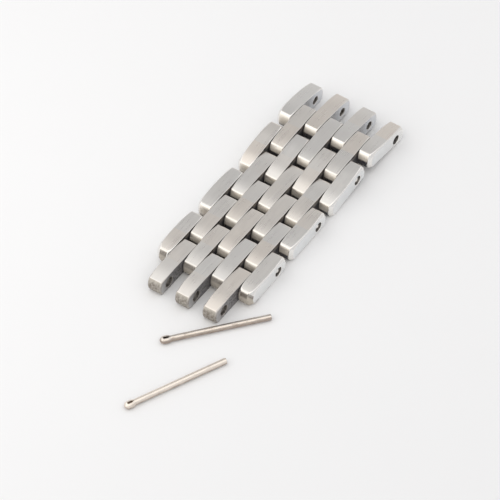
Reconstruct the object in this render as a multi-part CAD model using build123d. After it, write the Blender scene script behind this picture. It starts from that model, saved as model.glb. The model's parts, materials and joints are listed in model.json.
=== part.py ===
from build123d import *
import math
import os

# A section of a seven-column watch bracelet: brick links on cross pins, with two loose split pins beside it.
# X runs along the strap towards the far open end, Y across it towards its left edge, and Z is up.
# The origin is on the underside of the strap, below the middle of the middle link of the root row.
# Rows count from the near open end. Odd rows have three links and even rows have four.

# Strap
strap_width = 20.0
row_count = 8
root_row = 5
column_count = 7
column_gap = 0.08
three_link_spacing = 6.41
four_link_spacing = 6.0

# How the strap lies: the tilt of each row that isn't flat, and of the two links that swing alone in the last row
row_tilts = {6: 7.4, 7: 2.7, 8: -8.5}
swung_link_tilts = {"row8_left_inner_link": -5.5, "row8_right_inner_link": -6.0}

# Side outline of a link
axis_height = 1.57
crown_height = 3.42
end_radius = 2.6
shoulder_reach = 1.0
shoulder_radius = 20.0
top_corner_radius = 1.0
bottom_corner_radius = 0.8
edge_bevel = 0.38

# Pins and their bores
pin_diameter = 1.1
pin_clearance = 0.05
edge_wall = 0.9
mouth_depth = 0.7
three_link_mouth_diameter = 2.0
four_link_mouth_diameter = 1.6

# Split pin: two half-round legs and a drawn-out eye at their fold
split_pin_inset = 0.15
head_diameter = 1.55
head_length = 1.9
head_taper_length = 0.6
leg_gap = 0.1
head_clearance = 0.12
split_pin_turns = {2: 20.0, 4: 65.0, 6: -50.0}

# Loose split pins: how far each one's middle lies beyond the near end of the first row and right of that
# row's right face, and its heading from head to tips
loose_pin_1_reach = 0.9
loose_pin_1_offset = 0.67
loose_pin_1_heading = -40.3
loose_pin_2_reach = 14.6
loose_pin_2_offset = 1.92
loose_pin_2_heading = -25.3

# Every cut runs this far past the face it opens
overrun = 0.5

link_width = (strap_width - (column_count - 1) * column_gap) / column_count
crown = crown_height - axis_height
pin_radius = pin_diameter / 2
bore_radius = pin_radius + pin_clearance
head_radius = head_diameter / 2
recess_radius = head_radius + head_clearance
recess_depth = split_pin_inset + head_length
split_pin_length = strap_width - 2 * split_pin_inset
fixed_pin_length = strap_width - 2 * edge_wall
eye_width = head_diameter - pin_diameter
eye_end = head_length - pin_radius / 2
across = Rotation(90, 0, 0)

three_link_names = {1: "left", 3: "middle", 5: "right"}
four_link_names = {0: "left_edge", 2: "left_inner", 4: "right_inner", 6: "right_edge"}


def is_three_link(row):
    return row % 2 == 1


def row_spacing(row):
    """Distance between the two pin axes of a row."""
    return three_link_spacing if is_three_link(row) else four_link_spacing


def row_step(row):
    """The way from the near pin axis of a row to its far one."""
    tilt = math.radians(row_tilts.get(row, 0))
    return row_spacing(row) * math.cos(tilt), row_spacing(row) * math.sin(tilt)


def find_near_axes():
    """Place of the near pin axis of every row, as X and Z."""
    near = {root_row: (-row_spacing(root_row) / 2, axis_height)}
    for row in range(root_row + 1, row_count + 1):
        step_x, step_z = row_step(row - 1)
        near[row] = (near[row - 1][0] + step_x, near[row - 1][1] + step_z)
    for row in range(root_row - 1, 0, -1):
        step_x, step_z = row_step(row)
        near[row] = (near[row + 1][0] - step_x, near[row + 1][1] - step_z)
    return near


def column_y(column):
    """Middle of a column, counted from the strap's left edge."""
    return (strap_width - link_width) / 2 - column * (link_width + column_gap)


def link_outline(spacing):
    """Side outline with the near pin axis at zero: flat underside, domed top, ends struck from both axes."""
    reach = shoulder_reach + end_radius
    sweep = math.degrees(math.asin(reach / shoulder_radius))
    near_arc = CenterArc((shoulder_reach, crown - shoulder_radius), shoulder_radius, 90, sweep)
    far_arc = CenterArc((spacing - shoulder_reach, crown - shoulder_radius), shoulder_radius, 90, -sweep)
    top_line = Line(near_arc @ 0, far_arc @ 0)
    near_side = Line(near_arc @ 1, (-end_radius, -axis_height))
    far_side = Line(far_arc @ 1, (spacing + end_radius, -axis_height))
    base = Line(near_side @ 1, far_side @ 1)
    domed = make_face([near_arc, top_line, far_arc, far_side, base, near_side])
    outline = domed & Pos(spacing / 2, 0) * SlotCenterToCenter(spacing, 2 * end_radius)
    outline = fillet(outline.vertices().group_by(Axis.Y)[1], top_corner_radius)
    return fillet(outline.vertices().group_by(Axis.Y)[0], bottom_corner_radius)


def link_blank(spacing):
    """A link before its bores, standing with its near pin axis on the origin."""
    return extrude(Plane.XZ * link_outline(spacing), link_width / 2, both=True)


def cross_bore(x, radius, low, high):
    """A cutter along Y from low to high."""
    return Pos(x, (low + high) / 2, 0) * across * Cylinder(radius, high - low)


def running_bore(x):
    """A cutter for a bore that a link turns on its pin with."""
    half = link_width / 2
    return cross_bore(x, bore_radius, -half - overrun, half + overrun)


def bore_mouths(x, mouth_diameter):
    """Cutters that open out both mouths of a bore. They show at the open ends only, so inner bores stay plain."""
    half = link_width / 2
    left_mouth = cross_bore(x, mouth_diameter / 2, half - mouth_depth, half + overrun)
    right_mouth = cross_bore(x, mouth_diameter / 2, -half - overrun, mouth_depth - half)
    return left_mouth + right_mouth


def three_row_link(at_open_end):
    """A link of a row of three."""
    link = link_blank(three_link_spacing) - running_bore(0) - running_bore(three_link_spacing)
    if at_open_end:
        link -= bore_mouths(0, three_link_mouth_diameter)
    return link


def inner_link(at_open_end):
    """One of the two inner links of a row of four."""
    link = link_blank(four_link_spacing) - running_bore(0) - running_bore(four_link_spacing)
    if at_open_end:
        link -= bore_mouths(four_link_spacing, four_link_mouth_diameter)
    return link


def edge_link(side, at_open_end):
    """An edge link of a row of four, bevelled round its outer face. Side is 1 on the left and -1 on the right."""
    half = link_width / 2
    blank = link_blank(four_link_spacing)
    outer_face = blank.faces().sort_by(Axis.Y)[-1 if side > 0 else 0]
    blank = chamfer(outer_face.outer_wire().edges(), edge_bevel)
    blind_ends = sorted((-side * (half + overrun), side * (half - edge_wall)))
    cuts = cross_bore(0, pin_radius, *blind_ends) + running_bore(four_link_spacing)
    if side < 0:
        cuts += cross_bore(four_link_spacing, recess_radius, -half - overrun, recess_depth - half)
    elif at_open_end:
        mouth_radius = four_link_mouth_diameter / 2
        cuts += cross_bore(four_link_spacing, mouth_radius, -half - overrun, mouth_depth - half)
    return blank - cuts


def row_shapes(row):
    """The shape of each link of a row, by its place."""
    at_open_end = row in (1, row_count)
    if is_three_link(row):
        return dict.fromkeys(three_link_names.values(), three_row_link(at_open_end))
    shapes = dict.fromkeys(four_link_names.values(), inner_link(at_open_end))
    shapes["left_edge"] = edge_link(1, at_open_end)
    shapes["right_edge"] = edge_link(-1, at_open_end)
    return shapes


def fixed_pin():
    """A plain pin that is pressed into both edge links of its row."""
    return across * Cylinder(pin_radius, fixed_pin_length)


def split_pin():
    """A split pin along Y, centred on its length, with its head at the low end and its eye opening up."""
    low = -split_pin_length / 2
    legs = Pos(0, head_length / 2, 0) * across * Cylinder(pin_radius, split_pin_length - head_length)
    round_end = CenterArc((0, low + head_radius), head_radius, -90, 90)
    cheek = Line(round_end @ 1, (head_radius, low + head_length - head_taper_length))
    taper = Line(cheek @ 1, (pin_radius, low + head_length))
    shut = Line(taper @ 1, (0, low + head_length))
    half_outline = make_face([round_end, cheek, taper, shut, Line(shut @ 1, round_end @ 0)])
    head = extrude(half_outline + mirror(half_outline, Plane.YZ), pin_radius, both=True)
    head &= Pos(0, low + head_length / 2, 0) * across * Cylinder(head_radius, head_length + overrun)
    eye_middle = low + (pin_radius + eye_end) / 2
    eye = Rotation(0, 0, 90) * SlotOverall(eye_end - pin_radius, eye_width)
    eye = Pos(0, eye_middle, 0) * extrude(eye, pin_diameter, both=True)
    seam_length = split_pin_length / 2 + overrun - eye_middle
    seam = Pos(0, eye_middle + seam_length / 2, 0) * Box(leg_gap, seam_length, pin_diameter + overrun)
    return legs + head - eye - seam


def lay_links(near):
    """Every link at its place, by node name."""
    links = {}
    for row in range(1, row_count + 1):
        names = three_link_names if is_three_link(row) else four_link_names
        shapes = row_shapes(row)
        for column, place in names.items():
            name = f"row{row}_{place}_link"
            tilt = swung_link_tilts.get(name, row_tilts.get(row, 0))
            x, z = near[row]
            links[name] = Pos(x, column_y(column), z) * Rotation(0, -tilt, 0) * shapes[place]
    return links


def lay_pins(near):
    """Every pin of the strap: fixed ones on the near axis of the even rows, split ones on the far axis."""
    pins = {}
    for row in range(2, row_count + 1, 2):
        x, z = near[row]
        pins[f"row{row}_fixed_pin"] = Pos(x, 0, z) * fixed_pin()
    for row, turn in split_pin_turns.items():
        x, z = near[row + 1]
        pins[f"row{row}_split_pin"] = Pos(x, 0, z) * Rotation(0, turn, 0) * split_pin()
    return pins


def lay_loose_pins(near):
    """The two split pins that lie beside the strap, their eyes opening up."""
    places = (
        (loose_pin_1_reach, loose_pin_1_offset, loose_pin_1_heading),
        (loose_pin_2_reach, loose_pin_2_offset, loose_pin_2_heading),
    )
    near_end = near[1][0] - end_radius
    right_face = column_y(max(three_link_names)) - link_width / 2
    pins = {}
    for number, (reach, offset, heading) in enumerate(places, 1):
        place = Pos(near_end - reach, right_face - offset, pin_radius)
        pins[f"loose_split_pin_{number}"] = place * Rotation(0, 0, heading - 90) * split_pin()
    return pins


def main():
    near = find_near_axes()
    os.makedirs("parts", exist_ok=True)
    for name, shape in (lay_links(near) | lay_pins(near) | lay_loose_pins(near)).items():
        export_step(shape, f"parts/{name}.step")


main()
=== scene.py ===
"""Looks of a steel watch bracelet section and its loose split pins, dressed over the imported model.

Sizes are in millimetres until a mesh is made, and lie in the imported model's own frame: X along the
strap towards its far end, Y across it towards the left edge, Z up.
"""

import json
import logging
import math
from collections.abc import Iterable, Mapping, Sequence
from dataclasses import dataclass, field, replace
from enum import Enum
from typing import Any

import bpy
from mathutils import Matrix, Vector
from mathutils.geometry import tessellate_polygon

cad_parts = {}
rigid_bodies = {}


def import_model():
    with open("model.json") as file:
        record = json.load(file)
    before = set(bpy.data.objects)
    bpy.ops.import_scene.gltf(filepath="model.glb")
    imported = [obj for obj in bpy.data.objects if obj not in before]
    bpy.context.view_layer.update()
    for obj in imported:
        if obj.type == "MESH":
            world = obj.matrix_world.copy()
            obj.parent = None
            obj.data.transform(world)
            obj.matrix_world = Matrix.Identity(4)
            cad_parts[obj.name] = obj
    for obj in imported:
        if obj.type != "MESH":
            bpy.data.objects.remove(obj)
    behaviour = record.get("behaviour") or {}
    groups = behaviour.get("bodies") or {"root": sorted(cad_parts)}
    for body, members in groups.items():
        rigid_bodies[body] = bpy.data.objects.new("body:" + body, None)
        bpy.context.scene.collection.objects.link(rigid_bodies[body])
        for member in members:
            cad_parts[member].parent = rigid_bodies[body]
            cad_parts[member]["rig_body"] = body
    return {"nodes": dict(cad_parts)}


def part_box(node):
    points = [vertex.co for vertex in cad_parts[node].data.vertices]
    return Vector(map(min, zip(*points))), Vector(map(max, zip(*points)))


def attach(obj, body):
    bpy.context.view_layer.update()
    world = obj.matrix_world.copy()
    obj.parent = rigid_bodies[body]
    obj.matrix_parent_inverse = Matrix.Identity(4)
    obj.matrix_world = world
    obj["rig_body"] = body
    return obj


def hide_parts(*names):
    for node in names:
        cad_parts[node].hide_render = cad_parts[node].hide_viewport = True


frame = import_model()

Pair = tuple[float, float]
Triple = tuple[float, float, float]
Colour = tuple[float, float, float, float]

LOG = logging.getLogger("bracelet")
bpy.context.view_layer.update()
MM = 0.001
ACROSS = Vector((0.0, 1.0, 0.0))

# The two maps of a mesh: its places along and across the grain, and a link's own X and height
GRAIN_MAP = "grain"
PLACE_MAP = "place"

# Corners are one where they agree to this part of a millimetre
MERGE_PARTS = 1e5

# How far a bevel's rounding reaches to each side of its edge, for each millimetre of its radius
BEVEL_REACH = math.tan(math.pi / 8)

# The mean of every noise pattern
NOISE_MEAN = 0.5

# Films: oil and dust, and painted shade and painted reflections laid on in the same way
BROWN_FILM: Colour = (0.24, 0.2, 0.165, 1.0)
# Dark brown: oil at the open joints, and painted dark reflection and painted shade on the ends of the first
# two rows
OIL_AND_SHADE_FILM: Colour = (0.13, 0.105, 0.085, 1.0)
# Painted shade: dark grey-blue on the first row's inner sides, towards the joint with the second row
PAINTED_JOINT_SHADE: Colour = (0.075, 0.07, 0.078, 1.0)
# Painted shade: near black, laid low on the inner sides and the ends, where the gaps between links lie in
# shade
PAINTED_GAP_SHADE: Colour = (0.02, 0.02, 0.03, 1.0)
BORE_FILM: Colour = (0.07, 0.06, 0.055, 1.0)
# Pale cream: dust, and painted reflection of the floor on the lower parts of the ends
DUST_AND_SHEEN_FILM: Colour = (0.56, 0.51, 0.44, 1.0)
# Painted shade: brown on the lower side of the loose split pins, which is turned away from the light
PAINTED_PIN_SHADE: Colour = (0.27, 0.2, 0.16, 1.0)
SEAM_FILM: Colour = (0.5, 0.4, 0.33, 1.0)

# Ways in which a film gets thicker, along a link and up
DOWN: Pair = (0.0, -1.0)
TO_FAR_END: Pair = (1.0, 0.0)
TO_NEAR_END: Pair = (-1.0, 0.0)
NEAR_AND_DOWN: Pair = (-0.8, -0.6)


class Zone(Enum):
    """The kinds of surface that get a finish of their own."""

    TOP = "top"
    END = "end"
    BASE = "base"
    SIDE = "outer side"
    INNER = "inner side"
    BEVEL = "bevel"
    EDGE = "edge"
    BORE = "bore"
    ROD = "rod"
    SEAM = "seam"


class Side(Enum):
    """The side of the strap that an edge link is on, as the sign of Y."""

    LEFT = 1
    RIGHT = -1


PathPoint = tuple[Pair, Pair, Zone]


# Profiles


@dataclass(frozen=True)
class Stop:
    """A point of a profile.

    Args:
        at: Its place.
        normal: The way its surface looks.
        run: How far along the profile it lies.
        zone: The zone of what follows it.
    """

    at: Pair
    normal: Pair
    run: float
    zone: Zone


def unit(a: Pair, b: Pair) -> Pair:
    """The direction from a to b."""
    length = math.dist(a, b)
    return (b[0] - a[0]) / length, (b[1] - a[1]) / length


def soften(
    path: Sequence[Pair], zones: Sequence[Zone], radii: Sequence[float], steps: int = 4
) -> list[Stop]:
    """Rounds the corners of an open path.

    Args:
        path: The path's corners, with the hollow or the air on its right.
        zones: The zone of each straight run.
        radii: The rounding at each inner corner. Zero leaves it sharp.
        steps: How many faces a rounding has.

    Returns:
        The stops along the rounded path, each with a normal that points to its right.
    """
    raw: list[PathPoint] = []
    ways = [unit(a, b) for a, b in zip(path, path[1:])]
    normals = [(way[1], -way[0]) for way in ways]
    raw.append((path[0], normals[0], zones[0]))
    for corner, radius, way, after, n0, n1, zone in zip(
        path[1:-1], radii, ways, ways[1:], normals, normals[1:], zones[1:]
    ):
        turn = math.atan2(way[0] * after[1] - way[1] * after[0], way[0] * after[0] + way[1] * after[1])
        if radius <= 0:
            raw.append((corner, n0, Zone.EDGE))
            raw.append((corner, n1, zone))
            continue
        back = radius * math.tan(abs(turn) / 2)
        start = corner[0] - way[0] * back, corner[1] - way[1] * back
        bulge = radius if turn > 0 else -radius
        centre = start[0] - n0[0] * bulge, start[1] - n0[1] * bulge
        for step in range(steps + 1):
            angle = turn * step / steps
            c, s = math.cos(angle), math.sin(angle)
            n = n0[0] * c - n0[1] * s, n0[0] * s + n0[1] * c
            at = centre[0] + n[0] * bulge, centre[1] + n[1] * bulge
            raw.append((at, n, zone if step == steps else Zone.EDGE))
    raw.append((path[-1], normals[-1], zones[-1]))
    return with_runs(raw)


def with_runs(raw: Sequence[PathPoint]) -> list[Stop]:
    """Adds to each point of a path how far along it lies.

    Args:
        raw: The points, with their normals and the zones that follow them.

    Returns:
        The stops.
    """
    stops, run = [], 0.0
    for number, (at, normal, zone) in enumerate(raw):
        if number:
            run += math.dist(raw[number - 1][0], at)
        stops.append(Stop(at, normal, run, zone))
    return stops


@dataclass(frozen=True)
class LinkOutline:
    """Side outline of a link, in the plane across its pins, with the near pin axis at zero.

    Args:
        spacing: The distance between its two pin axes.
        axis_height: How high they lie over the underside.
        crown_height: How high the crown lies over it.
        end_radius: The radius of both ends about their pin axes.
        shoulder_reach: How far from a pin axis the crown starts to fall.
        shoulder_radius: The radius with which it falls.
        top_corner_radius: The corner between crown and end.
        bottom_corner_radius: The corner between end and underside.
        brushed_to: How far round the top corner the brushed finish goes.
        arc_step: The most that a face turns on an arc.
        shoulder_step: The most that it turns on the crown.
    """

    spacing: float
    axis_height: float = 1.57
    crown_height: float = 3.42
    end_radius: float = 2.6
    shoulder_reach: float = 1.0
    shoulder_radius: float = 20.0
    top_corner_radius: float = 0.4
    bottom_corner_radius: float = 0.8
    brushed_to: float = math.radians(36.0)
    arc_step: float = math.radians(5.0)
    shoulder_step: float = math.radians(1.0)

    def arc(self, centre: Pair, radius: float, start: Pair, end: Pair, zone: Zone) -> list[PathPoint]:
        """Points on an arc that turns to the left.

        Args:
            centre: The arc's centre.
            radius: Its radius.
            start: The direction from the centre in which it starts.
            end: The direction in which it ends.
            zone: The finish zone of the surface along it.

        Returns:
            The arc's points and normals, without its last point.
        """
        first = math.atan2(start[1], start[0])
        sweep = (math.atan2(end[1], end[0]) - first) % math.tau
        step = self.shoulder_step if radius == self.shoulder_radius else self.arc_step
        count = max(2, math.ceil(sweep / step))
        points = []
        for number in range(count):
            angle = first + sweep * number / count
            n = math.cos(angle), math.sin(angle)
            points.append(((centre[0] + radius * n[0], centre[1] + radius * n[1]), n, zone))
        return points

    def near_half(self) -> list[PathPoint]:
        """The near half of the outline.

        Returns:
            Its points from the middle of the crown over the near end to the middle of the base.
        """
        crown = self.crown_height - self.axis_height
        middle = self.spacing / 2
        shoulder = self.shoulder_reach, crown - self.shoulder_radius
        inner = self.shoulder_radius - self.top_corner_radius
        corner = self.meet(shoulder, inner, self.end_radius - self.top_corner_radius)
        drop = self.bottom_corner_radius - self.axis_height
        foot = -math.sqrt((self.end_radius - self.bottom_corner_radius) ** 2 - drop**2), drop
        up, down = (0.0, 1.0), (0.0, -1.0)
        top_way, end_way = unit(shoulder, corner), unit((0.0, 0.0), corner)
        foot_way = unit((0.0, 0.0), foot)
        turn_way = -math.sin(self.brushed_to), math.cos(self.brushed_to)
        points = [((middle, crown), up, Zone.TOP)]
        points += self.arc(shoulder, self.shoulder_radius, up, top_way, Zone.TOP)
        points += self.arc(corner, self.top_corner_radius, top_way, turn_way, Zone.TOP)
        points += self.arc(corner, self.top_corner_radius, turn_way, end_way, Zone.END)
        points += self.arc((0.0, 0.0), self.end_radius, end_way, foot_way, Zone.END)
        points += self.arc(foot, self.bottom_corner_radius, foot_way, down, Zone.END)
        points.append(((foot[0], -self.axis_height), down, Zone.BASE))
        points.append(((middle, -self.axis_height), down, Zone.BASE))
        return points

    def meet(self, centre: Pair, radius: float, other_radius: float) -> Pair:
        """Finds where a circle meets another about the near pin axis.

        Args:
            centre: The first circle's centre.
            radius: Its radius.
            other_radius: The radius of the one about the pin axis.

        Returns:
            The meeting point that lies nearer to the near end.
        """
        gap = math.hypot(*centre)
        along = (gap**2 + other_radius**2 - radius**2) / (2 * gap)
        off = math.sqrt(other_radius**2 - along**2)
        way = centre[0] / gap, centre[1] / gap
        points = [(way[0] * along - s * way[1] * off, way[1] * along + s * way[0] * off) for s in (1, -1)]
        return min(points)

    def stops(self) -> list[Stop]:
        """The whole outline.

        Returns:
            Its stops, turning to the left from the middle of the crown and back to it.
        """
        near = self.near_half()
        far = []
        for number in range(len(near) - 1, -1, -1):
            (x, z), (nx, nz), _ = near[number]
            zone = near[number - 1][2] if number else Zone.TOP
            far.append(((self.spacing - x, z), (-nx, nz), zone))
        return with_runs(near[:-1] + far)


@dataclass(frozen=True)
class Bore:
    """A round bore across a link.

    Args:
        x: The distance of its axis from the near pin axis.
        radius: The radius of its running land.
        right: Its radius and depth at the right face, or None where it doesn't reach that face.
        left: The same at the left face.
        end: Where a blind bore ends across the link. A through bore ignores it.
    """

    x: float
    radius: float
    right: Pair | None
    left: Pair | None
    end: float = 0.0

    def path(self, half: float) -> list[Pair]:
        """The bore's wall, without its two rims.

        Args:
            half: Half the link's width.

        Returns:
            Its points from right to left, as places across the link and radii.
        """
        points: list[Pair] = []
        if self.right is None:
            points += [(self.end, 0.0), (self.end, self.radius)]
        elif self.right[1] > 0:
            inner = self.right[1] - half
            points += [(-half, self.right[0]), (inner, self.right[0]), (inner, self.radius)]
        else:
            points.append((-half, self.radius))
        if self.left is None:
            points += [(self.end, self.radius), (self.end, 0.0)]
        elif self.left[1] > 0:
            inner = half - self.left[1]
            points += [(inner, self.radius), (inner, self.left[0]), (half, self.left[0])]
        else:
            points.append((half, self.radius))
        return points


# Meshes


@dataclass(frozen=True)
class Corner:
    """One corner of a face.

    Args:
        place: Its place.
        normal: The way the surface looks there.
        grain: Its place along and across the grain.
    """

    place: Vector
    normal: Vector
    grain: Pair


@dataclass
class Draft:
    """A mesh while it is built.

    Args:
        faces: The corners of each face, each with a normal of its own, and the face's zone.
    """

    faces: list[tuple[list[Corner], Zone]] = field(default_factory=list)

    def strip(self, first: Sequence[Corner], second: Sequence[Corner], zones: Sequence[Zone]) -> None:
        """Joins two rows of corners.

        Args:
            first: The row on the right of the way along them, seen from outside.
            second: The row on the left.
            zones: The zone of each face.
        """
        for number, zone in enumerate(zones):
            after = number + 1
            self.faces.append(([first[number], second[number], second[after], first[after]], zone))

    def fill(self, loops: Sequence[Sequence[Corner]], zone: Zone) -> None:
        """Fills a flat face between an outer loop and the loops of its holes.

        Args:
            loops: The outer loop first, then one for each hole.
            zone: The face's zone.
        """
        corners = [corner for loop in loops for corner in loop]
        for a, b, c in tessellate_polygon([[corner.place for corner in loop] for loop in loops]):
            triangle = [corners[a], corners[b], corners[c]]
            places = [corner.place for corner in triangle]
            if (places[1] - places[0]).cross(places[2] - places[0]).dot(corners[0].normal) < 0:
                triangle.reverse()
            self.faces.append((triangle, zone))

    def build(
        self, name: str, finishes: Mapping[Zone, bpy.types.Material], place: Matrix
    ) -> bpy.types.Object:
        """Makes the mesh and its object.

        Args:
            name: The object's name.
            finishes: The material of each zone.
            place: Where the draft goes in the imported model's frame, in millimetres.

        Returns:
            The object, at the frame's origin, with the place in its mesh.
        """
        zones = [zone for zone in finishes if any(zone is used for _, used in self.faces)]
        turn = place.to_3x3()
        known: dict[tuple[int, int, int], int] = {}
        points: list[Vector] = []
        polygons: list[list[int]] = []
        slots: list[int] = []
        normals: list[Vector] = []
        grain: list[float] = []
        spots: list[float] = []
        for corners, zone in self.faces:
            polygon: list[int] = []
            for corner in corners:
                key = tuple(round(value * MERGE_PARTS) for value in corner.place)
                if key not in known:
                    known[key] = len(points)
                    points.append((place @ corner.place) * MM)
                if known[key] in polygon:
                    continue
                polygon.append(known[key])
                normals.append((turn @ corner.normal).normalized())
                grain.extend(corner.grain)
                spots.extend((corner.place.x, corner.place.z))
            if len(polygon) < 3:
                del normals[len(normals) - len(polygon) :]
                del grain[len(grain) - 2 * len(polygon) :]
                del spots[len(spots) - 2 * len(polygon) :]
                continue
            polygons.append(polygon)
            slots.append(zones.index(zone))
        mesh = bpy.data.meshes.new(name)
        mesh.from_pydata(points, [], polygons)
        for zone in zones:
            mesh.materials.append(finishes[zone])
        mesh.polygons.foreach_set("material_index", slots)
        mesh.polygons.foreach_set("use_smooth", [True] * len(polygons))
        mesh.uv_layers.new(name=GRAIN_MAP).data.foreach_set("uv", grain)
        mesh.uv_layers.new(name=PLACE_MAP).data.foreach_set("uv", spots)
        mesh.normals_split_custom_set(normals)
        mesh.update()
        made = bpy.data.objects.new(name, mesh)
        bpy.context.scene.collection.objects.link(made)
        return made


# Shader nodes


class Wire:
    """An output of a shader tree that takes part in sums like a number."""

    def __init__(self, tree: "Tree", socket: bpy.types.NodeSocket) -> None:
        """Keeps the tree and the socket."""
        self.tree = tree
        self.socket = socket

    def beside(self, output: str) -> "Wire":
        """Another output of the same node."""
        return Wire(self.tree, Tree.find(self.socket.node.outputs, output))

    def math(self, operation: str, *values: "Value") -> "Wire":
        """A Math node on values."""
        return self.tree.node("ShaderNodeMath", {"operation": operation}, dict(enumerate(values)))

    def __add__(self, other: "Value") -> "Wire":
        """This plus other."""
        return self.math("ADD", self, other)

    def __radd__(self, other: float) -> "Wire":
        """Other plus this."""
        return self.math("ADD", other, self)

    def __sub__(self, other: "Value") -> "Wire":
        """This minus other."""
        return self.math("SUBTRACT", self, other)

    def __rsub__(self, other: float) -> "Wire":
        """Other minus this."""
        return self.math("SUBTRACT", other, self)

    def __mul__(self, other: "Value") -> "Wire":
        """This times other."""
        return self.math("MULTIPLY", self, other)

    def __rmul__(self, other: float) -> "Wire":
        """Other times this."""
        return self.math("MULTIPLY", other, self)

    def clamped(self) -> "Wire":
        """This, held between zero and one."""
        return self.math("MINIMUM", self.math("MAXIMUM", self, 0.0), 1.0)

    def swing(self, reach: float) -> "Wire":
        """A noise turned into a change up or down from its mean, of reach from lowest to highest."""
        return (self - NOISE_MEAN) * reach

    def above(self, low: float, high: float) -> "Wire":
        """A smooth step from zero at low to one at high."""
        sockets = {"Value": self, "From Min": low, "From Max": high}
        return self.tree.node("ShaderNodeMapRange", {"interpolation_type": "SMOOTHSTEP"}, sockets)


Value = Wire | float | Sequence[float]


@dataclass
class Tree:
    """A shader tree that is written as expressions.

    Args:
        tree: Blender's own tree, which is emptied first.
    """

    tree: bpy.types.NodeTree

    def __post_init__(self) -> None:
        """Empties the tree."""
        self.tree.nodes.clear()

    def node(
        self,
        kind: str,
        settings: Mapping[str, Any] | None = None,
        sockets: Mapping[str | int, Value] | None = None,
        output: str | int = 0,
    ) -> Wire:
        """Adds a node.

        Args:
            kind: Blender's name of the node type.
            settings: Its own settings, such as a Math node's operation, which are set first.
            sockets: The value or the link of each input, by name, identifier or number.
            output: The output that is wanted, in the same way.

        Returns:
            The wire from that output.
        """
        made = self.tree.nodes.new(kind)
        for name, setting in (settings or {}).items():
            setattr(made, name, setting)
        for name, value in (sockets or {}).items():
            socket = self.find(made.inputs, name)
            if isinstance(value, Wire):
                self.tree.links.new(value.socket, socket)
            else:
                socket.default_value = value
        found = self.find(made.outputs, output) if made.outputs else None
        return Wire(self, found)

    @staticmethod
    def find(sockets: Iterable[bpy.types.NodeSocket], name: str | int) -> bpy.types.NodeSocket:
        """Finds a socket.

        Args:
            sockets: The sockets of one side of a node.
            name: The number, identifier or name of the one that is wanted.

        Returns:
            The socket.
        """
        found = list(sockets)
        if isinstance(name, int):
            return found[name]
        by_id = [socket for socket in found if socket.identifier == name]
        return (by_id or [socket for socket in found if socket.name == name])[0]

    def blend(self, share: Value, low: Value, high: Value) -> Wire:
        """A colour from low to high by share."""
        sockets = {"Factor_Float": share, "A_Color": low, "B_Color": high}
        return self.node("ShaderNodeMix", {"data_type": "RGBA"}, sockets, "Result_Color")

    def vector(self, x: Value, y: Value, z: Value) -> Wire:
        """A vector of three values."""
        return self.node("ShaderNodeCombineXYZ", None, {0: x, 1: y, 2: z})

    def noise(self, place: Wire, detail: float, roughness: float) -> Wire:
        """A noise pattern from zero to one, about one unit across."""
        sockets = {"Vector": place, "Scale": 1.0, "Detail": detail, "Roughness": roughness}
        return self.node("ShaderNodeTexNoise", None, sockets, "Fac")

    def mapped(self, name: str) -> tuple[Wire, Wire]:
        """The two places that a map of the mesh holds, in millimetres.

        Args:
            name: The map. One holds the places along and across the grain, and the other a link's own X
                and height, counted from its near pin axis.

        Returns:
            Both places.
        """
        both = self.node("ShaderNodeUVMap", {"uv_map": name})
        first = self.node("ShaderNodeSeparateXYZ", None, {"Vector": both}, "X")
        return first, first.beside("Y")

    def solid(self, scale: Triple) -> Wire:
        """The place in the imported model's frame, in metres, times a scale."""
        place = self.node("ShaderNodeTexCoord", None, None, "Object")
        return self.node("ShaderNodeMapping", None, {"Vector": place, "Scale": scale})

    def bumped(self, height: Wire, depth: float) -> Wire:
        """A normal that follows a height pattern, depth millimetres deep."""
        return self.node("ShaderNodeBump", None, {"Height": height, "Distance": depth * MM})


@dataclass(frozen=True)
class Pattern:
    """A noise pattern on a surface.

    Args:
        along: How many of its spots go into a millimetre along the grain.
        across: How many go into one across it.
        layer: The layer of the noise that it takes, so that no two patterns match.
        detail: How many finer patterns are in it.
        roughness: How strong those are.
    """

    along: float
    across: float
    layer: float
    detail: float = 3.0
    roughness: float = 0.55

    def on(self, tree: Tree) -> Wire:
        """The pattern's value, from zero to one.

        Args:
            tree: The tree to make it in.

        Returns:
            Its output.
        """
        along, across = tree.mapped(GRAIN_MAP)
        place = tree.vector(along * self.along, across * self.across, self.layer)
        return tree.noise(place, self.detail, self.roughness)


# Finishes


def toned(colour: Colour, tone: float, warmth: float = 0.0) -> Colour:
    """Makes a colour lighter or darker, warmer or cooler.

    Args:
        colour: The colour.
        tone: What it is multiplied by.
        warmth: How much red is added and blue taken away.

    Returns:
        The new colour.
    """
    red, green, blue, _ = colour
    warmer = red * tone * (1 + warmth), green * tone, blue * tone * (1 - warmth)
    return min(1.0, warmer[0]), min(1.0, warmer[1]), min(1.0, warmer[2]), 1.0


@dataclass(frozen=True)
class Film:
    """A film on a link, thick in some spots and thin in others. Some films are oil or dust near its joints;
    others are painted shade and painted reflections.

    Args:
        way: The direction in which it gets thicker, along the link and up.
        start: How far that way it starts, in millimetres from the near pin axis.
        full: Where it is thickest.
        share: How much of the metal it hides there.
        colour: Its colour.
        spot: About how large its spots are.
        thin: How much of it is left between its spots.
        layer: The layer of noise that its spots take.
        edge: The values of that noise where a spot starts and where it is full.
        dullness: How much rougher than the metal it is.
    """

    way: Pair
    start: float
    full: float
    share: float
    colour: Colour = BROWN_FILM
    spot: float = 0.5
    thin: float = 0.35
    layer: float = 11.0
    edge: Pair = (0.32, 0.66)
    dullness: float = 0.25

    def cover(self, tree: Tree) -> Wire:
        """Works out where the film lies.

        Args:
            tree: The tree to work it out in.

        Returns:
            How much of the metal it hides, from zero to one.
        """
        x, z = tree.mapped(PLACE_MAP)
        thickness = (x * self.way[0] + z * self.way[1]).above(self.start, self.full)
        pattern = Pattern(1 / self.spot, 1 / self.spot, self.layer, detail=4.0, roughness=0.65)
        spotted = pattern.on(tree).above(*self.edge) * (1 - self.thin) + self.thin
        return (thickness * spotted * self.share).clamped()


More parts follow.
